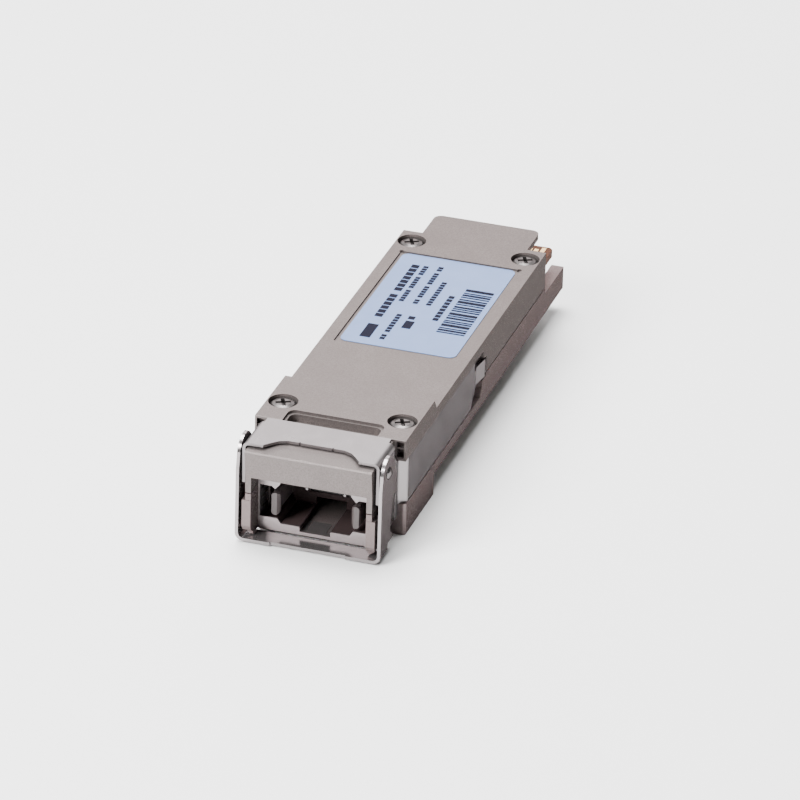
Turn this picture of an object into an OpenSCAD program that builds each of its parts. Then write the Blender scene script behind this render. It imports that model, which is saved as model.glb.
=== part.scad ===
// Pluggable four-lane optical transceiver module with a pull bail.
// Millimetres. X is the width, +Y points to the card edge, +Z is up.
// Inside the modules y = 0 is the front edge of the raised cover and
// z = 0 is the underside of the rear body; place() moves the whole part
// so that the origin is the centre of the underside of its bounding box.

/* [Body] */
// Width of both housings
body_width = 18.35; // [18:0.05:18.5]
// Height of the rear body
body_height = 8.5; // [8.2:0.1:8.7]
// Rear end of the lower shelf
rear_end = 63.5; // [60:0.5:66]
// Rear end of the full-height body
body_end = 55.4; // [53:0.2:57]
// Height of the parting line between the housings
seam_z = 3.6; // [3:0.1:4.4]
// Height of the raised front of the cover
raised_top = 9.78; // [9.4:0.02:10]
// Where the raised front ends
raised_end = 10.68; // [9:0.1:12]
// Underside of the deep front block
block_bottom = -2.75; // [-3:0.05:-2]
// Rear face of the front block, the stop against the cage
stop_y = 11.13; // [10:0.01:12]

/* [Nose] */
// Front of the nose
nose_front = -7.9; // [-9:0.1:-7]
// Half width of the nose above the posts
nose_half = 7.65; // [7.4:0.05:7.8]
// Top of the nose
nose_top = 9.45; // [9.2:0.05:9.5]
// Half width of the port opening
port_half = 6.97; // [6.8:0.01:7.1]
// Lower edge of the port opening
port_floor = -1.67; // [-1.8:0.01:-1.5]
// Upper edge of the port opening
port_roof = 5.74; // [5.5:0.02:6]

/* [Latch] */
// Thickness of the slider sheet
slider_sheet = 0.35; // [0.3:0.05:0.45]
// Thickness of the bail sheet
bail_sheet = 0.38; // [0.3:0.02:0.5]
// Outer half width of the bail
bail_half = 8.82; // [8.7:0.02:8.9]
// Radius of the rivet shank
rivet_r = 0.6; // [0.4:0.05:0.8]
// Free play around the rivet shank
rivet_play = 0.05; // [0.02:0.01:0.1]

/* [Card] */
// Thickness of the circuit board
board_thick = 1.0; // [0.8:0.1:1.2]
// Underside of the circuit board
board_z = 5.0; // [4.8:0.1:5.2]
// Contacts on each side of the card edge
contact_count = 19; // [10:1:19]
// Pitch of the contacts
contact_pitch = 0.8; // [0.6:0.1:0.8]

/* [Hidden] */
$fn = 48;
body_half = body_width / 2;
eps = 0.01;
flange_z = 7.1;
post_half = 8.05;
post_top = 2.75;
post_r = 1.2;
strip_z = 1.3;
block_front = 0.39;
block_corner_r = 0.4;
ramp_foot = 11.54;
shelf_top = 2.9;
shelf_cut_half = 7.6;
tab_half = 6.75;
tab_end = 60.94;
tab_thick = 0.75;
tab_corner_r = 1;
channel_half = 8.6;
channel_out = body_half + 1;
joggle_in = 7.75;
notch_half = 8.45;
seam_gap = 0.14;
nose_slope_y = -4.2;
nose_edge = 9.22;
rear_cavity_half = 8.3;
cavity_floor = 1.2;
cavity_roof = 7.3;
adapter_back = 3.0;
adapter_front = -4.95;
collar_back = -4.75;
port_step = -1.95;
lip_front = -4.7;
lip_low = -2.25;
holder_half = 5.5;
holder_rear = 9.95;
pocket_y = [13, 20.95];
pocket_z = [3.2, 4.8];
pocket_in = 7.05;
screw_front = [7.27, 4.49];
screw_rear = [7.29, 52.8];
screw_recess_r = 1.775;
screw_head_r = 1.5;
screw_head_h = 0.8;
screw_sink = 0.12;
screw_shank_r = 0.8;
screw_play = 0.03;
screw_clear = 0.1;
screw_low_front = -1.6;
screw_low_rear = 0.6;
cross_arm = 0.9;
cross_width = 0.46;
cross_depth = 0.55;
cross_turn = 25;
boss_r = 1.3;
cover_low = seam_z + seam_gap;
head_seat_front = raised_top - screw_sink - screw_head_h;
head_seat_rear = body_height - screw_sink - screw_head_h;
finger_half = 5.85;
finger_depth_y = 2.85;
finger_floor = 8.5;
finger_corner_r = 0.9;
finger_edge = 0.3;
recess_half = 7.65;
recess_y = [23.7, 49.7];
recess_floor = 8.3;
label_half = 7.22;
label_y = [24.45, 49.5];
label_thick = 0.08;
label_corner_r = 0.9;
plate_z = 9.9;
plate_half = 8.25;
plate_bend_r = 0.75;
plate_front = -6.9;
plate_rear = -0.3;
tongue_rear = 0.2;
joggle_y = [0.1, 1.4];
arm_out = 9.1;
arm_top = 7.0;
arm_end = 26.8;
hook_z = [3.4, 5.7];
hinge_y = -5.1;
hinge_z = 8.05;
lobe_r = 2.1;
rivet_head_r = 0.75;
rivet_head_out = 9.15;
rivet_inner_r = 0.9;
rivet_inner_x = [7.74, 7.89];
bail_bottom = -2.56;
bail_corner_r = 1;
spring_x = 7.85;
spring_z = 4.0;
spring_r = 0.52;
wire_r = 0.11;
spring_turns = 6;
spring_y = [13.13, 20.37];
tab_y = [20.5, 20.85];
plug_half = 4.3;
plug_z = [-1.0, 4.93];
window_z = [-0.4, 3.72];
window_half = 6.5;
key_half = 1.87;
key_floor = -1.62;
collar_sheet = 0.2;
collar_foot = -2.0;
ferrule_z = 2.0;
ferrule_y = [1.0, 9.0];
ferrule_half = 3.2;
ferrule_half_z = 1.25;
shoulder_y = 7.2;
shoulder_grow = 0.3;
pin_x = 2.3;
pin_r = 0.35;
pin_play = 0.01;
ribbon_half = 1.55;
ribbon_thick = 0.3;
latch_x = 5.0;
latch_y = 1.45;
latch_foot_r = 0.5;
latch_z = [0.05, 2.9];
board_top = board_z + board_thick;
board_front = 13;
board_rear = 61.9;

// Moves the part from its working axes to its final frame.
module place() {
  translate([0, -(nose_front + rear_end) / 2, -block_bottom]) children();
}

// Repeats a right-hand feature on the left.
module both() {
  children();
  mirror([1, 0, 0]) children();
}

// A block given by its limits on each axis.
module block(x, y, z) {
  translate([x[0], y[0], z[0]]) cube([x[1] - x[0], y[1] - y[0], z[1] - z[0]]);
}

// A block centred on the middle plane.
module centred(half, y, z) {
  block([-half, half], y, z);
}

// A [y, z] outline drawn through x.
module side_on(x, outline) {
  translate([x[0], 0, 0]) rotate([90, 0, 90]) linear_extrude(x[1] - x[0]) polygon(outline);
}

// An [x, y] outline drawn through z.
module plan(z, outline) {
  translate([0, 0, z[0]]) linear_extrude(z[1] - z[0]) polygon(outline);
}

// A flat rectangle with rounded corners, centred in x, drawn through z.
module rounded_plan(half, y, z, r) {
  translate([0, 0, z[0]]) linear_extrude(z[1] - z[0]) {
    translate([-half, y[0] + r]) square([2 * half, y[1] - y[0] - 2 * r]);
    translate([-half + r, y[0]]) square([2 * half - 2 * r, y[1] - y[0]]);
    for (x = [-half + r, half - r], v = [y[0] + r, y[1] - r]) translate([x, v]) circle(r);
  }
}

// An upright rounded [x, z] rectangle drawn along y.
module rounded_front(half, y, z, r) {
  translate([0, y[1], 0]) rotate([90, 0, 0]) linear_extrude(y[1] - y[0]) {
    translate([-half, z[0] + r]) square([2 * half, z[1] - z[0] - 2 * r]);
    translate([-half + r, z[0]]) square([2 * half - 2 * r, z[1] - z[0]]);
    for (x = [-half + r, half - r], v = [z[0] + r, z[1] - r]) translate([x, v]) circle(r);
  }
}

// Room in the sides of both housings for the slider arms and their hooks.
module slider_room() {
  both() {
    block([channel_half, channel_out], [block_front - 1, 26], [strip_z, flange_z]);
    plan([strip_z, flange_z], [[joggle_in, -1], [joggle_in, 0.9], [channel_half, 2],
         [channel_out, 2], [channel_out, -1]]);
    side_on([notch_half, channel_out], [[24.6, strip_z], [28.9, strip_z], [29.6, 2.4],
            [29.7, 3.2], [31.2, 3.3], [31.2, 5.9], [30.1, 6.1], [29.9, flange_z],
            [24.6, flange_z]]);
    block([pocket_in, channel_out], pocket_y, pocket_z);
  }
}

// The hollow both housings close around the board, the optics and the port.
module inner_room() {
  centred(port_half, [nose_front - 1, port_step], [port_floor, port_roof]);
  centred(port_half, [nose_front - 1, lip_front], [lip_low - 1, 0]);
  centred(6.5, [port_step - eps, adapter_back], [port_floor, port_roof]);
  centred(holder_half + 0.05, [adapter_back - eps, holder_rear], [port_floor, cavity_roof]);
  centred(holder_half + 0.05, [holder_rear - eps, 11.6], [cavity_floor, cavity_roof]);
  centred(6.7, [11.5, 31.6], [cavity_floor, cavity_roof]);
  centred(rear_cavity_half, [31.5, body_end + 1], [cavity_floor, cavity_roof]);
}

// Places a feature at the four cover screws; children take a front flag from $front.
module at_screws() {
  for (side = [-1, 1]) {
    translate([side * screw_front[0], screw_front[1], 0]) {
      $front = true;
      children();
    }
    translate([side * screw_rear[0], screw_rear[1], 0]) {
      $front = false;
      children();
    }
  }
}

module top_cover() {
  color("silver") difference() {
    union() {
      difference() {
        union() {
          centred(body_half, [raised_end, body_end], [cover_low, body_height]);
          side_on([-body_half, body_half], [[0, cover_low], [0, raised_top - 0.1],
                  [0.1, raised_top], [raised_end, raised_top], [ramp_foot, body_height],
                  [ramp_foot, cover_low]]);
          side_on([-nose_half, nose_half], [[0.5, cover_low], [0.5, nose_top],
                  [nose_slope_y, nose_top], [-7.7, nose_edge], [nose_front, nose_edge - 0.15],
                  [-7.5, port_roof], [-7.5, cover_low]]);
          rounded_plan(tab_half, [body_end - 4, tab_end],
                       [body_height - tab_thick, body_height], tab_corner_r);
        }
        slider_room();
        inner_room();
      }
      at_screws() translate([0, 0, seam_z]) cylinder(r=boss_r, h=cavity_roof - seam_z + 0.2);
      both() block([4.6, 5.6], [17, 18.5], [board_top, cavity_roof + 0.1]);
      both() block([5.6, 6.6], [45, 46.5], [board_top, cavity_roof + 0.1]);
    }
    at_screws() {
      seat = $front ? head_seat_front : head_seat_rear;
      translate([0, 0, seat]) cylinder(r=screw_recess_r, h=3);
      translate([0, 0, seam_z - 1]) cylinder(r=screw_shank_r + screw_clear, h=seat);
    }
    finger_pocket();
    rounded_plan(recess_half, recess_y, [recess_floor, body_height + 1], 0.25);
    both() translate([recess_half - 0.1, recess_y[1] - 0.1, recess_floor - 0.1])
      cylinder(r=0.3, h=1);
    both() flange_recess();
  }
}

// Finger pocket in the front edge of the raised cover.
module finger_pocket() {
  inner_half = finger_half - finger_edge;
  rounded_plan(inner_half, [-2, finger_depth_y - finger_edge],
               [finger_floor, raised_top + 1], finger_corner_r);
  rounded_plan(finger_half, [-2, finger_depth_y], [raised_top - 0.35, raised_top + 1],
               finger_corner_r);
}

// Hollow behind the front edge of the cover flange, with a thin cross rib.
module flange_recess() {
  block([8.0, 8.95], [-1, 1.2], [7.45, 8.45]);
  block([8.0, 8.95], [-1, 0.9], [8.62, 9.5]);
  block([8.0, 8.95], [-1, 0.3], [8.4, 8.7]);
}

module bottom_case() {
  color("silver") difference() {
    union() {
      difference() {
        union() {
          centred(body_half, [block_front + 2, body_end], [0, seam_z]);
          centred(body_half, [body_end - 1, rear_end], [0, shelf_top]);
          rounded_plan(body_half, [block_front, stop_y], [block_bottom, seam_z],
                       block_corner_r);
          centred(body_half, [stop_y - 2, stop_y], [block_bottom, 0.5]);
          nose_lower();
        }
        slider_room();
        inner_room();
        centred(shelf_cut_half, [body_end, rear_end + 1], [cavity_floor, shelf_top + 1]);
      }
      at_screws() translate([0, 0, 0.5]) cylinder(r=boss_r, h=seam_z - 0.5);
      centred(4.6, [23.4, 29.4], [cavity_floor - 0.2, 3.7]);
      both() block([4.6, 5.6], [17, 18.5], [cavity_floor - 0.2, board_z]);
      both() block([5.6, 6.6], [45, 46.5], [cavity_floor - 0.2, board_z]);
    }
    at_screws() {
      low = $front ? screw_low_front : screw_low_rear;
      translate([0, 0, low]) cylinder(r=screw_shank_r + screw_play, h=10);
    }
  }
}

// Lower half of the nose: two posts, joined behind the collar by a lip under the port.
module nose_lower() {
  rear = block_front + 1.2;
  post_low = -2.0;
  intersection() {
    union() {
      rounded_front(post_half, [nose_front, lip_front + 0.1], [post_low, post_top + post_r], post_r);
      rounded_front(nose_half, [lip_front, rear], [lip_low, seam_z + post_r], post_r);
    }
    union() {
      side_on([-post_half, post_half], [[-7.55, post_top], [-7.55, -0.6], [-7.3, -1.2],
              [-6.6, -1.65], [-6.6, lip_low], [rear, lip_low], [rear, post_top]]);
      side_on([-nose_half, nose_half], [[-7.5, post_top - 0.05], [-7.5, seam_z],
              [rear, seam_z], [rear, post_top - 0.05]]);
    }
  }
}

// One cross-recessed screw: rounded head at the seat height, shank down to z = low.
module cover_screw(seat, low) {
  difference() {
    union() {
      translate([0, 0, seat]) cylinder(r=screw_head_r, h=screw_head_h - 0.3);
      translate([0, 0, seat + screw_head_h - 0.3])
        cylinder(r1=screw_head_r, r2=screw_head_r - 0.22, h=0.18);
      translate([0, 0, seat + screw_head_h - 0.12])
        cylinder(r1=screw_head_r - 0.22, r2=screw_head_r - 0.65, h=0.12);
      translate([0, 0, low + 0.1]) cylinder(r=screw_shank_r, h=seat - low);
    }
    for (turn = [cross_turn, cross_turn + 90]) rotate(turn)
      translate([-cross_arm, -cross_width / 2, seat + screw_head_h - cross_depth])
        cube([2 * cross_arm, cross_width, 1]);
  }
}

module cover_screws() {
  color("lightgray") at_screws() {
    cover_screw($front ? head_seat_front : head_seat_rear,
                $front ? screw_low_front : screw_low_rear);
  }
}

module label() {
  color("lightsteelblue")
    rounded_plan(label_half, label_y, [recess_floor, recess_floor + label_thick],
                 label_corner_r);
}

module latch_slider() {
  color("gray") {
    difference() {
      union() {
        slider_hood();
        both() slider_arm();
        both() block([7.25, arm_out - 0.1], tab_y, [3.35, 4.65]);
      }
      both() translate([rivet_inner_x[0], hinge_y, hinge_z]) rotate([0, 90, 0])
        cylinder(r=rivet_r + 0.01, h=2);
    }
  }
}

// Folded sheet over the nose: top plate with an arched front edge, and two sides that
// each end in a tongue in front of the lower housing.
module slider_hood() {
  inner_half = plate_half - slider_sheet;
  difference() {
    intersection() {
      rounded_front(plate_half, [plate_front, tongue_rear], [-4, plate_z], plate_bend_r);
      union() {
        side_on([-plate_half, plate_half], [[plate_front, 4.7], [plate_front, plate_z],
                [-1.3, plate_z], [-1.3, 8.1], [-0.7, 7.5], [plate_rear, 7.3],
                [plate_rear, 4.7]]);
        centred(plate_half - plate_bend_r, [plate_front, plate_rear],
                [plate_z - slider_sheet, plate_z]);
        side_on([-plate_half, plate_half], [[-2.3, 5], [-2.3, 3.8], [-1.15, 3.8],
                [-0.95, 3.4], [-0.95, 0.1], [-0.7, -0.3], [-0.4, -0.4], [0, -0.3],
                [tongue_rear, 0], [tongue_rear, arm_top], [plate_rear - 0.1, arm_top],
                [plate_rear - 0.1, 5]]);
      }
    }
    rounded_front(inner_half, [plate_front - 1, tongue_rear + 1],
                  [-6, plate_z - slider_sheet], plate_bend_r - slider_sheet);
    plan([nose_top, plate_z + 1], [[-5.75, -8], [-5.75, -6.83], [-4.95, -5.9],
         [-4.35, -5.3], [-3.4, -4.9], [-2.1, -4.9], [-2.1, -4.75], [-1.9, -4.75],
         [-1.9, -4.9], [1.9, -4.9], [1.9, -4.75], [2.1, -4.75], [2.1, -4.9],
         [3.4, -4.9], [4.35, -5.3], [4.95, -5.9], [5.75, -6.83], [5.75, -8]]);
  }
}

// Points of a smooth S from x0 to x1 while y runs over its range.
function joggle(x0, x1, y) =
  [for (t = [0 : 0.125 : 1]) [x0 + (x1 - x0) * (1 - cos(180 * t)) / 2, y[0] + (y[1] - y[0]) * t]];

// Side of the slider behind the hood: joggled outwards, then straight to its hook.
module slider_arm() {
  inner = plate_half - slider_sheet;
  arm_in = arm_out - slider_sheet;
  arm_low = strip_z + 0.05;
  intersection() {
    plan([0, 8], concat(joggle(plate_half, arm_out, joggle_y),
         [[arm_out, arm_end], [arm_in, arm_end]],
         joggle(arm_in, inner, [joggle_y[1] + 0.15, joggle_y[0] + 0.1])));
    side_on([7, 10], [[0, arm_low], [25.4, arm_low], [arm_end, 3.2], [arm_end, arm_top],
            [0, arm_top]]);
  }
  plan(hook_z, [[arm_in, arm_end - 0.2], [arm_out, arm_end - 0.2], [arm_out, 27.2],
       [8.88, 28.2], [9.17, 30.6], [9.17, 30.9], [8.82, 30.9], [8.53, 28.3], [arm_in, 27.2]]);
}

// One bail rivet: domed outer head, shank and the flare that holds it to the slider.
module bail_rivet() {
  dome_base = bail_half + 0.03;
  dome_h = rivet_head_out - dome_base;
  dome_r = (rivet_head_r * rivet_head_r + dome_h * dome_h) / (2 * dome_h);
  translate([0, hinge_y, hinge_z]) rotate([0, 90, 0]) {
    translate([0, 0, rivet_inner_x[0]])
      cylinder(r=rivet_inner_r, h=rivet_inner_x[1] - rivet_inner_x[0]);
    translate([0, 0, rivet_inner_x[0]]) cylinder(r=rivet_r, h=dome_base + 0.1 - rivet_inner_x[0]);
    intersection() {
      translate([0, 0, dome_base]) cylinder(r=rivet_head_r + 0.1, h=dome_h + 0.1);
      translate([0, 0, rivet_head_out - dome_r]) sphere(dome_r);
    }
  }
}

module bail_rivets() {
  color("lightgray") both() bail_rivet();
}

module bail() {
  arm_in = bail_half - bail_sheet;
  color("lightgray") difference() {
    intersection() {
      difference() {
        rounded_front(bail_half, [-8, 0], [bail_bottom, 14], bail_corner_r);
        rounded_front(arm_in, [-9, 1], [bail_bottom + bail_sheet, 15],
                      bail_corner_r - bail_sheet);
      }
      union() {
        side_on([-bail_half, bail_half], [[-7.2, hinge_z], [-7.5, 6.6], [-7.7, bail_bottom],
                [-5.2, bail_bottom], [-4.95, -1.1], [-2.83, -1.02], [-4.08, 0.1],
                [-4.2, 0.8], [-3.87, 2.5], [-3.66, 3.6], [-3.15, 4.3], [-2.2, 4.4],
                [-2.2, 7], [-3.1, hinge_z]]);
        translate([-bail_half, hinge_y, hinge_z]) rotate([0, 90, 0])
          cylinder(r=lobe_r, h=2 * bail_half);
      }
    }
    translate([-bail_half - 1, hinge_y, hinge_z]) rotate([0, 90, 0])
      cylinder(r=rivet_r + rivet_play, h=2 * bail_half + 2);
    centred(4.57, [-8, -7.5], [bail_bottom - 1, bail_bottom + 1]);
  }
}

// One return spring as a chain of half rings, each tilted by half a turn's rise.
module slider_spring() {
  pitch = (spring_y[1] - spring_y[0] - 2 * wire_r) / spring_turns;
  tilt = atan(pitch / 4 / spring_r);
  for (i = [0 : 2 * spring_turns - 1])
    translate([spring_x, spring_y[0] + wire_r + (i + 0.5) * pitch / 2, spring_z])
      rotate([90, 0, 0]) rotate([0, i % 2 == 0 ? tilt : -tilt, 0])
        rotate([0, 0, i % 2 == 0 ? -2 : 178]) rotate_extrude(angle=184, $fn=12)
          translate([spring_r, 0]) circle(wire_r, $fn=8);
}

module slider_springs() {
  color("dimgray") both() slider_spring();
}

// Sheet frame in the port: a keyed front plate, with slotted sides that press on the housing.
module emi_collar() {
  half = port_half - 0.02;
  low = port_floor + 0.02;
  high = port_roof - 0.02;
  color("darkgray") difference() {
    union() {
      centred(half, [adapter_front, port_step - 0.05], [low, high]);
      centred(half - collar_sheet, [adapter_front, collar_back], [collar_foot, low + 0.1]);
    }
    centred(half - collar_sheet, [collar_back, 0], [low + collar_sheet, high - collar_sheet]);
    plug_profile([-6, 0], half - collar_sheet);
    for (z = [0.2, 1.5, 2.8, 4.1]) centred(10, [-4.2, -1], [z, z + 0.25]);
    for (x = [-4, -1.35, 1.1, 3.75]) block([x, x + 0.25], [-4.2, -1], [-3, 7]);
  }
}

// Dark moulding behind the front plate, with the plug channel and sockets for the latches.
module port_adapter() {
  half = 6.46;
  low = port_floor + 0.02 + collar_sheet;
  color("darkslategray") difference() {
    centred(half, [collar_back, adapter_back], [low, port_roof - 0.02 - collar_sheet]);
    plug_profile([-6, 1], window_half);
    centred(key_half, [-6, 4], [-3, 0]);
    centred(ferrule_half + 0.1, [0, 4], [ferrule_z - 1.35, ferrule_z + 1.35]);
    both() translate([latch_x, latch_y, -0.1]) cylinder(r=latch_foot_r + 0.05, h=4.13);
  }
}

// Keyed outline of the plug opening with a latch window on each side, drawn along y.
module plug_profile(y, window) {
  right = [[0, key_floor], [key_half, key_floor], [key_half, plug_z[0]], [4.2, plug_z[0]],
           [4.6, window_z[0]], [window, window_z[0]], [window, window_z[1]],
           [5.3, window_z[1]], [4.9, 3.4], [plug_half, 4.1], [plug_half, plug_z[1]],
           [0, plug_z[1]]];
  both() translate([0, y[1], 0]) rotate([90, 0, 0]) linear_extrude(y[1] - y[0]) polygon(right);
}

// Right-hand latch arm: round foot in its socket, thin blade, rounded hooked tip.
module latch_hook() {
  height = latch_z[1] - latch_z[0];
  tip_r = 0.45;
  translate([latch_x, latch_y, latch_z[0]]) cylinder(r=latch_foot_r, h=height);
  block([latch_x - 0.22, latch_x + 0.22], [-4.4, latch_y], latch_z);
  intersection() {
    plan(latch_z, [[4.75, -4.0], [4.32, -4.3], [4.32, -4.6], [4.65, -5.0], [5.3, -5.0],
         [5.4, -4.8], [5.4, -4.2], [5.2, -3.9]]);
    union() {
      translate([4.86, 0, latch_z[0] + 0.54]) rotate([90, 0, 0]) cylinder(r=0.54, h=10, center=true);
      translate([4.86, 0, latch_z[1] - 0.54]) rotate([90, 0, 0]) cylinder(r=0.54, h=10, center=true);
      block([4.32, 5.4], [-6, 0], [latch_z[0] + 0.54, latch_z[1] - 0.54]);
    }
  }
}

module latch_hook_right() {
  color("gainsboro") latch_hook();
}

module latch_hook_left() {
  color("gainsboro") mirror([1, 0, 0]) latch_hook();
}

module ferrule() {
  color("dimgray") difference() {
    union() {
      centred(ferrule_half, ferrule_y, [ferrule_z - ferrule_half_z, ferrule_z + ferrule_half_z]);
      centred(ferrule_half + shoulder_grow, [shoulder_y, ferrule_y[1]],
              [ferrule_z - ferrule_half_z - 0.25, ferrule_z + ferrule_half_z + 0.25]);
    }
    both() translate([pin_x, 0, ferrule_z]) rotate([-90, 0, 0])
      cylinder(r=pin_r + pin_play, h=20);
    centred(ribbon_half + 0.05, [3, 20], [ferrule_z - 0.2, ferrule_z + 0.2]);
  }
}

module guide_pins() {
  color("silver") both() translate([pin_x, 0, ferrule_z]) rotate([-90, 0, 0]) {
    translate([0, 0, -0.95]) cylinder(r=pin_r, h=9.75);
    translate([0, 0, -1.2]) cylinder(r1=0.15, r2=pin_r, h=0.25);
  }
}

// Bracket that holds the ferrule shoulder between the adapter and the case.
module ferrule_holder() {
  color("gray") difference() {
    centred(holder_half, [5.2, holder_rear - 0.05], [port_floor + 0.02, 4.9]);
    centred(ferrule_half + 0.05, [4, 11],
            [ferrule_z - ferrule_half_z - 0.05, ferrule_z + ferrule_half_z + 0.05]);
    centred(ferrule_half + shoulder_grow + 0.05, [shoulder_y, 11],
            [ferrule_z - ferrule_half_z - 0.3, ferrule_z + ferrule_half_z + 0.3]);
  }
}

module pin_clamp() {
  color("silver") difference() {
    centred(ferrule_half + 0.2, [9.02, 9.6], [ferrule_z - 1.3, ferrule_z + 1.3]);
    centred(ribbon_half + 0.1, [8, 11], [ferrule_z - 0.25, ferrule_z + 1.5]);
  }
}

module fibre_ribbon() {
  t = ribbon_thick / 2;
  color("teal") side_on([-ribbon_half, ribbon_half],
    [[3.1, 2 - t], [10.4, 2 - t], [12, 2.15 - t], [14, 2.95 - t], [15.6, 3.4 - t],
     [17.2, 3.55 - t], [19.2, 3.55 - t], [19.2, 3.55 + t], [17.1, 3.55 + t],
     [15.4, 3.4 + t], [13.8, 2.95 + t], [11.8, 2.15 + t], [10.3, 2 + t], [3.1, 2 + t]]);
}

module lens_block() {
  color("khaki") difference() {
    centred(3.3, [18.7, 22.4], [2.95, board_z]);
    centred(2.5, [19.9, 21.6], [4.25, board_z + 1]);
    centred(ribbon_half + 0.04, [18, 19.25], [3.37, 3.73]);
    both() translate([2.9, 19.3, 2]) cylinder(r=0.2, h=1.6);
  }
}

// Spring clip under the lens block, with two legs beside it.
module lens_clip() {
  color("silver") {
    centred(3.6, [19.6, 21.4], [2.72, 2.93]);
    both() block([3.38, 3.6], [19.6, 21.4], [2.72, 4.98]);
  }
}

module laser_array() {
  color("goldenrod") block([-2.1, -0.6], [20.4, 20.75], [4.8, board_z]);
}

module photodiode_array() {
  color("indigo") block([0.6, 2.1], [20.4, 20.75], [4.78, board_z]);
}

module laser_driver_chip() {
  color("black") block([-4.1, -0.7], [24.2, 27.4], [4.2, board_z]);
}

module receiver_chip() {
  color("black") block([0.7, 4.1], [24.2, 27.4], [4.2, board_z]);
}

module thermal_pad() {
  color("lightpink") centred(4.4, [23.9, 27.7], [3.7, 4.2]);
}

module controller_chip() {
  color("black") block([-2.6, 2.6], [36, 41.2], [board_top, board_top + 0.85]);
}

module power_capacitors() {
  color("tan") {
    for (x = [-5.6, -4.3, 4.3, 5.6], y = [33.2, 36, 38.8])
      block([x - 0.4, x + 0.4], [y - 0.7, y + 0.7], [board_top, board_top + 0.7]);
    for (x = [-4.2, -2.6, 2.6, 4.2])
      block([x - 0.5, x + 0.5], [29.6, 31], [board_top, board_top + 0.5]);
  }
}

module power_inductors() {
  color("dimgray") for (x = [-4.2, 0, 4.2])
    block([x - 1.25, x + 1.25], [49, 51.5], [board_z - 1.2, board_z]);
}

module circuit_board() {
  half = [[0, board_front], [4.4, board_front], [6.5, board_front + 1.2], [6.5, 31.8],
          [7.9, 33], [7.9, 50.4], [5.8, 51.2], [5.8, 54.3], [8.2, 54.8],
          [8.2, board_rear - 0.4], [7.8, board_rear], [0, board_rear]];
  color("sienna") difference() {
    union() {
      plan([board_z, board_top], half);
      mirror([1, 0, 0]) plan([board_z, board_top], half);
    }
    translate([0, 44, board_z - 1]) cylinder(r=0.4, h=3);
  }
}

// One row of edge contacts; alternate ones stop further from the edge.
module contact_row(z) {
  first = -(contact_count - 1) / 2 * contact_pitch;
  for (i = [0 : contact_count - 1])
    block([first + i * contact_pitch - 0.27, first + i * contact_pitch + 0.27],
          [57.4, board_rear - (i % 3 == 0 ? 0.35 : 0.95)], z);
}

module edge_contacts_top() {
  color("gold") contact_row([board_top, board_top + 0.04]);
}

module edge_contacts_bottom() {
  color("gold") contact_row([board_z - 0.04, board_z]);
}

place() top_cover();
place() bottom_case();
place() cover_screws();
place() label();
place() latch_slider();
place() slider_springs();
place() bail();
place() bail_rivets();
place() emi_collar();
place() port_adapter();
place() latch_hook_left();
place() latch_hook_right();
place() ferrule();
place() guide_pins();
place() ferrule_holder();
place() pin_clamp();
place() fibre_ribbon();
place() lens_block();
place() lens_clip();
place() laser_array();
place() photodiode_array();
place() laser_driver_chip();
place() receiver_chip();
place() thermal_pad();
place() controller_chip();
place() power_capacitors();
place() power_inductors();
place() circuit_board();
place() edge_contacts_top();
place() edge_contacts_bottom();
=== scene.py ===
"""Looks of the optical transceiver module: finishes, label print, floor, light and camera."""

import math

import bmesh
import bpy
from mathutils import Matrix, Vector


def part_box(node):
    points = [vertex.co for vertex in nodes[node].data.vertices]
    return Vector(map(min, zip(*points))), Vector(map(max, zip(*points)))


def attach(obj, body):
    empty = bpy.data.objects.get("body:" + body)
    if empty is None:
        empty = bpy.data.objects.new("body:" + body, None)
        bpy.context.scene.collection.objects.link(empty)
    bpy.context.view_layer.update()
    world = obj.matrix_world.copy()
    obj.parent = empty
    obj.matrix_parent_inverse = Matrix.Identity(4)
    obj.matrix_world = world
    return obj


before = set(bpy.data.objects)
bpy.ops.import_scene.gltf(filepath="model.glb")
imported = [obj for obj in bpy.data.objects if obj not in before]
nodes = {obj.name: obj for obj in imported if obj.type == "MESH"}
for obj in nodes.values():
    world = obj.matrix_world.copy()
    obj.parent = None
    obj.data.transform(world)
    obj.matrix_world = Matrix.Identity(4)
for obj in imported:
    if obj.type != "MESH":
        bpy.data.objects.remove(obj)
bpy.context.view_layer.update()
MM = 0.001

# Sockets of a mix node that blends colours.
MIX_FACTOR, MIX_FROM, MIX_TO, MIX_RESULT = 0, 6, 7, 2


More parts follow.
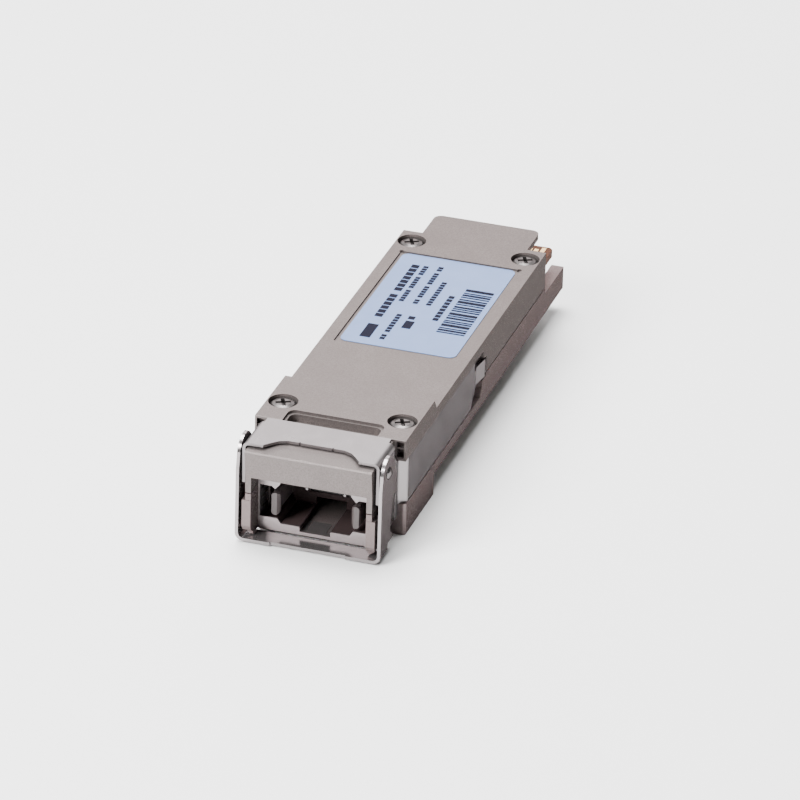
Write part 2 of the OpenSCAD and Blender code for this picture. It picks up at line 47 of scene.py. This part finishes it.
# ---------------------------------------------------------------- materials
class Finish:
    """A Principled material and the few node patterns that the finishes below share."""

    def __init__(self, name, color, rough, metallic=0.0, **inputs):
        self.mat = bpy.data.materials.new(name)
        self.mat.use_nodes = True
        self.tree = self.mat.node_tree
        self.shader = self.tree.nodes["Principled BSDF"]
        self.color = color
        self.rough = rough
        self.mat.diffuse_color = (*color, 1.0)
        self.shader.inputs["Base Color"].default_value = (*color, 1.0)
        self.shader.inputs["Roughness"].default_value = rough
        self.shader.inputs["Metallic"].default_value = metallic
        for key, value in inputs.items():
            self.shader.inputs[key.replace("_", " ")].default_value = value
        self.coords = self.tree.nodes.new("ShaderNodeTexCoord").outputs["Object"]
        self.height = None

    def link(self, a, b):
        self.tree.links.new(a, b)

    def noise(self, grain, detail=3.0, stretch=(1, 1, 1)):
        """Noise whose grains are about this many metres across, longer along the stretched axes."""
        mapping = self.tree.nodes.new("ShaderNodeMapping")
        mapping.inputs["Scale"].default_value = [1 / (grain * s) for s in stretch]
        self.link(self.coords, mapping.inputs["Vector"])
        node = self.tree.nodes.new("ShaderNodeTexNoise")
        node.inputs["Scale"].default_value = 1.0
        node.inputs["Detail"].default_value = detail
        self.link(mapping.outputs["Vector"], node.inputs["Vector"])
        return node.outputs["Fac"]

    def ramp(self, value, low, high, lo=0.0, hi=1.0):
        """Maps value from lo..hi to low..high."""
        node = self.tree.nodes.new("ShaderNodeMapRange")
        node.inputs["From Min"].default_value = lo
        node.inputs["From Max"].default_value = hi
        node.inputs["To Min"].default_value = low
        node.inputs["To Max"].default_value = high
        self.link(value, node.inputs["Value"])
        return node.outputs["Result"]

    def tint(self, value, other, lo=0.35, hi=0.65):
        """Blends the base colour towards another where value is high."""
        mix = self.tree.nodes.new("ShaderNodeMix")
        mix.data_type = "RGBA"
        base = self.shader.inputs["Base Color"]
        if base.is_linked:
            self.link(base.links[0].from_socket, mix.inputs[MIX_FROM])
        else:
            mix.inputs[MIX_FROM].default_value = (*self.color, 1.0)
        mix.inputs[MIX_TO].default_value = (*other, 1.0)
        self.link(self.ramp(value, 0.0, 1.0, lo, hi), mix.inputs[MIX_FACTOR])
        self.link(mix.outputs[MIX_RESULT], base)
        return self

    def vary_roughness(self, value, spread):
        """Moves the roughness by up to spread either way."""
        self.link(self.ramp(value, self.rough - spread, self.rough + spread, 0.3, 0.7),
                  self.shader.inputs["Roughness"])
        return self

    def bump(self, value, depth):
        """Raises the surface by about depth metres where value is high."""
        node = self.tree.nodes.new("ShaderNodeBump")
        node.inputs["Strength"].default_value = 1.0
        node.inputs["Distance"].default_value = depth
        self.link(value, node.inputs["Height"])
        if self.height is not None:
            self.link(self.height, node.inputs["Normal"])
        self.height = node.outputs["Normal"]
        self.link(self.height, self.shader.inputs["Normal"])
        return self


def casting(name, color):
    """Satin nickel on a fine-grained casting, with slight blotches."""
    f = Finish(name, color, 0.36, metallic=0.6,
               Specular_Tint=(0.1, 0.1, 0.1, 1.0), Specular_IOR_Level=0.0)
    grain = f.noise(0.16 * MM, 2.0)
    blotch = f.noise(3.5 * MM, 3.0)
    f.tint(blotch, [c * 0.92 for c in color])
    f.tint(grain, [c * 0.80 for c in color])
    f.vary_roughness(grain, 0.08)
    f.bump(blotch, 0.006 * MM)
    f.bump(grain, 0.012 * MM)
    return f.mat


def rolled(name, color, rough, along=(1, 12, 1)):
    """Rolled sheet steel with fine lines along one axis."""
    f = Finish(name, color, rough, metallic=0.85, Anisotropic=0.3,
               Specular_Tint=(0.05, 0.05, 0.05, 1.0), Specular_IOR_Level=0.0)
    lines = f.noise(0.09 * MM, 1.0, along)
    smear = f.noise(2.5 * MM, 2.0)
    f.tint(lines, [c * 0.94 for c in color])
    f.tint(smear, [c * 0.95 for c in color])
    f.vary_roughness(smear, 0.03)
    f.bump(lines, 0.0015 * MM)
    return f.mat


def bright(name, color, rough):
    """Machined or headed steel with faint turning marks."""
    f = Finish(name, color, rough, metallic=1.0)
    marks = f.noise(0.12 * MM, 2.0)
    f.tint(marks, [c * 0.9 for c in color])
    f.vary_roughness(marks, 0.05)
    f.bump(marks, 0.002 * MM)
    return f.mat


def moulded(name, color, rough, **inputs):
    """Filled plastic or ceramic with a fine mottled skin."""
    f = Finish(name, color, rough, **inputs)
    skin = f.noise(0.15 * MM, 3.0)
    f.tint(skin, [min(1.0, c * 1.25) for c in color], 0.45, 0.75)
    f.vary_roughness(skin, 0.06)
    f.bump(skin, 0.004 * MM)
    return f.mat


def laminate():
    """Glass-epoxy board: brown resin over a woven glass pattern."""
    f = Finish("board_laminate", (0.060, 0.018, 0.007), 0.6, Specular_IOR_Level=0.05)
    for stretch in ((1, 9, 1), (9, 1, 1)):
        f.tint(f.noise(0.12 * MM, 1.0, stretch), (0.10, 0.032, 0.012), 0.5, 0.8)
    f.bump(f.noise(0.3 * MM, 2.0), 0.004 * MM)
    return f.mat


def film():
    """Pale matt label film, nearly flat, with a faint orange-peel skin."""
    color = (0.120, 0.180, 0.34)
    f = Finish("label_film", color, 0.42, Specular_IOR_Level=0.1)
    f.tint(f.noise(2.5 * MM, 2.0), (0.113, 0.171, 0.326))
    f.bump(f.noise(0.5 * MM, 2.0), 0.003 * MM)
    return f.mat


FINISHES = {
    "top_cover": casting("cast_cover", (0.180, 0.158, 0.153)),
    "bottom_case": casting("cast_case", (0.200, 0.163, 0.160)),
    "cover_screws": rolled("screw_steel", (0.15, 0.138, 0.137), 0.30, (1, 1, 1)),
    "label": film(),
    "latch_slider": rolled("slider_steel", (0.255, 0.236, 0.238), 0.30),
    "slider_springs": bright("spring_steel", (0.45, 0.45, 0.45), 0.3),
    "bail": rolled("bail_steel", (0.33, 0.305, 0.307), 0.18, (6, 1, 1)),
    "bail_rivets": rolled("rivet_steel", (0.16, 0.148, 0.148), 0.22, (1, 1, 1)),
    "emi_collar": rolled("collar_steel", (0.30, 0.272, 0.274), 0.34),
    # Port adapter: dark plastic, with its colour darkened further as painted shade for the shadowed
    # port interior.
    "port_adapter": moulded("adapter_plastic", (0.038, 0.026, 0.026), 0.42,
                            Specular_IOR_Level=0.1),
    # Latch hooks: dark plastic, with their colour darkened further as painted shade for their place
    # in the port's shadow.
    "latch_hook_left": moulded("hook_plastic", (0.075, 0.062, 0.062), 0.35),
    "ferrule": moulded("ferrule_plastic", (0.035, 0.033, 0.033), 0.5),
    "guide_pins": bright("pin_steel", (0.25, 0.24, 0.24), 0.35),
    "ferrule_holder": moulded("holder_plastic", (0.03, 0.03, 0.032), 0.5),
    "fibre_ribbon": moulded("ribbon_coat", (0.02, 0.30, 0.36), 0.3),
    "lens_block": moulded("lens_plastic", (0.45, 0.27, 0.06), 0.15),
    "lens_clip": rolled("clip_steel", (0.55, 0.55, 0.55), 0.3),
    "laser_array": moulded("laser_crystal", (0.18, 0.13, 0.05), 0.15),
    "photodiode_array": moulded("diode_crystal", (0.05, 0.04, 0.12), 0.15),
    "laser_driver_chip": moulded("chip_black", (0.012, 0.012, 0.013), 0.45),
    "thermal_pad": moulded("pad_silicone", (0.48, 0.24, 0.27), 0.7),
    "power_capacitors": moulded("ceramic_tan", (0.28, 0.18, 0.09), 0.35),
    "power_inductors": moulded("ferrite_grey", (0.05, 0.05, 0.052), 0.5),
    "circuit_board": laminate(),
    "edge_contacts_top": bright("contact_gold", (0.42, 0.26, 0.10), 0.28),
}
SAME_FINISH = {
    "latch_hook_right": "latch_hook_left",
    "pin_clamp": "guide_pins",
    "receiver_chip": "laser_driver_chip",
    "controller_chip": "laser_driver_chip",
    "edge_contacts_bottom": "edge_contacts_top",
}
for name, node in nodes.items():
    finish = FINISHES[SAME_FINISH.get(name, name)]
    node.data.materials.clear()
    node.data.materials.append(finish)

# Small broken edges, so that each part catches the light as a real one does.
EDGE_BREAK = {
    "top_cover": 0.09, "bottom_case": 0.09, "latch_slider": 0.05, "bail": 0.07,
    "cover_screws": 0.06, "port_adapter": 0.04, "bail_rivets": 0.08,
    "latch_hook_left": 0.06, "latch_hook_right": 0.06, "circuit_board": 0.05,
}
for name, width in EDGE_BREAK.items():
    bevel = nodes[name].modifiers.new("edge_break", "BEVEL")
    bevel.width = width * MM
    bevel.segments = 2
    bevel.limit_method = "ANGLE"
    bevel.angle_limit = math.radians(40)
    bevel.harden_normals = True


# ---------------------------------------------------------------- label print
INK = moulded("label_ink", (0.014, 0.014, 0.022), 0.9, Specular_IOR_Level=0.0)
INK_THICKNESS = 0.03 * MM
label_low, label_high = (Vector(c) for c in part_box("label"))


def print_bars(name, bars):
    """Plain ink bars on the label, each (x, y, width, length) in millimetres.

    x and y start at the label's front left corner.
    """
    bm = bmesh.new()
    for x, y, width, length in bars:
        centre = Vector((label_low.x + (x + width / 2) * MM,
                         label_low.y + (y + length / 2) * MM,
                         label_high.z + INK_THICKNESS / 2))
        size = Matrix.Diagonal((width * MM, length * MM, INK_THICKNESS, 1))
        bmesh.ops.create_cube(bm, size=1, matrix=Matrix.Translation(centre) @ size)
    mesh = bpy.data.meshes.new(name)
    bm.to_mesh(mesh)
    bm.free()
    mesh.materials.append(INK)
    obj = bpy.data.objects.new(name, mesh)
    bpy.context.scene.collection.objects.link(obj)
    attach(obj, "housing")


def dashes(x, width, start, words, dash, gap):
    """A row of equal dashes grouped like words; words holds how many dashes each group has."""
    bars, y = [], start
    for count in words:
        for _ in range(count):
            bars.append((x, y, width, dash))
            y += dash + gap
        y += dash
    return bars


BARCODE_X, BARCODE_WIDTH = 10.25, 3.5
BARCODE_START, LAST_STROKE = 5.95, 18.25
STROKES = (0.24, 0.42, 0.24, 0.6, 0.3)
GAPS = (0.26, 0.22, 0.4)
strokes, y, step = [], BARCODE_START, 0
while y < LAST_STROKE:
    thick = STROKES[step % len(STROKES)]
    strokes.append((BARCODE_X, y, BARCODE_WIDTH, thick))
    y += thick + GAPS[step % len(GAPS)]
    step += 1
print_bars("print_strokes", strokes)
print_bars("print_heading", dashes(2.0, 0.95, 7.4, (6, 7), 0.85, 0.25))
print_bars("print_lines",
           dashes(3.45, 0.62, 12.3, (5, 5, 4), 0.5, 0.16)
           + dashes(5.25, 0.62, 12.2, (2, 5, 5, 2), 0.5, 0.16)
           + dashes(6.9, 0.62, 12.3, (10,), 0.5, 0.18)
           + dashes(8.85, 0.7, 8.7, (8,), 0.68, 0.22)
           + dashes(4.45, 0.62, 1.8, (2, 7), 0.56, 0.18))
print_bars("print_blocks", [(2.0, 1.7, 1.3, 3.6), (6.0, 5.5, 1.1, 2.0), (6.0, 8.0, 0.8, 0.8)])


# ---------------------------------------------------------------- floor, light, camera
FLOOR_HALF = 0.6


def floor():
    bm = bmesh.new()
    bmesh.ops.create_grid(bm, x_segments=1, y_segments=1, size=FLOOR_HALF)
    mesh = bpy.data.meshes.new("floor")
    bm.to_mesh(mesh)
    bm.free()
    f = Finish("floor_paper", (0.88, 0.88, 0.88), 0.9)
    f.tint(f.noise(20 * MM, 2.0), (0.875, 0.875, 0.875))
    mesh.materials.append(f.mat)
    obj = bpy.data.objects.new("floor", mesh)
    bpy.context.scene.collection.objects.link(obj)


def softbox(name, place, aim, size, watts):
    light = bpy.data.lights.new(name, "AREA")
    light.shape = "RECTANGLE"
    light.size, light.size_y = size
    light.energy = watts
    obj = bpy.data.objects.new(name, light)
    obj.location = place
    obj.rotation_euler = (Vector(aim) - Vector(place)).to_track_quat("-Z", "Y").to_euler()
    bpy.context.scene.collection.objects.link(obj)


floor()
softbox("key", (-0.28, -0.42, 0.36), (0, -0.02, 0.005), (0.25, 0.25), 8.0)
softbox("overhead", (-0.12, 0.12, 0.70), (0, 0, 0), (0.5, 0.5), 18.0)


# How nearly a direction must face the bright side before the backdrop starts to brighten.
BRIGHT_FROM = 0.84


def studio_world(towards, dim, full):
    """A backdrop that brightens from dim to full towards one direction."""
    world = bpy.data.worlds.new("studio")
    world.use_nodes = True
    tree = world.node_tree
    direction = tree.nodes.new("ShaderNodeTexCoord").outputs["Generated"]
    facing = tree.nodes.new("ShaderNodeVectorMath")
    facing.operation = "DOT_PRODUCT"
    facing.inputs[1].default_value = Vector(towards).normalized()
    tree.links.new(direction, facing.inputs[0])
    level = tree.nodes.new("ShaderNodeMapRange")
    level.inputs["From Min"].default_value = BRIGHT_FROM
    level.inputs["To Min"].default_value = dim
    level.inputs["To Max"].default_value = full
    tree.links.new(facing.outputs["Value"], level.inputs["Value"])
    background = tree.nodes["Background"]
    background.inputs["Color"].default_value = (1, 1, 1, 1)
    tree.links.new(level.outputs["Result"], background.inputs["Strength"])
    bpy.context.scene.world = world


studio_world(towards=(-0.30, 0.93, 0.18), dim=0.12, full=10.5)

# The camera looks at TARGET from this turn, height angle and distance, and is then slid
# sideways and up so that the module sits where the photo has it.
TARGET = Vector((0.0, -2.8, 6.75)) * MM
TURN, LIFT, ROLL = (math.radians(a) for a in (17.473, 27.357, 1.423))
DISTANCE = 702.071 * MM
SLIDE_RIGHT, SLIDE_UP = 0.361 * MM, -2.42 * MM
LENS, SENSOR = 265.67, 36.0

back = Vector((math.sin(TURN) * math.cos(LIFT), -math.cos(TURN) * math.cos(LIFT), math.sin(LIFT)))
level_right = (-back).cross(Vector((0, 0, 1))).normalized()
level_up = level_right.cross(-back)
right = level_right * math.cos(ROLL) + level_up * math.sin(ROLL)
up = level_up * math.cos(ROLL) - level_right * math.sin(ROLL)
camera_data = bpy.data.cameras.new("camera")
camera_data.lens = LENS
camera_data.sensor_width = SENSOR
camera = bpy.data.objects.new("camera", camera_data)
eye = TARGET + back * DISTANCE + right * SLIDE_RIGHT + up * SLIDE_UP
camera.matrix_world = Matrix.Translation(eye) @ Matrix((right, up, back)).transposed().to_4x4()
bpy.context.scene.collection.objects.link(camera)
bpy.context.scene.camera = camera
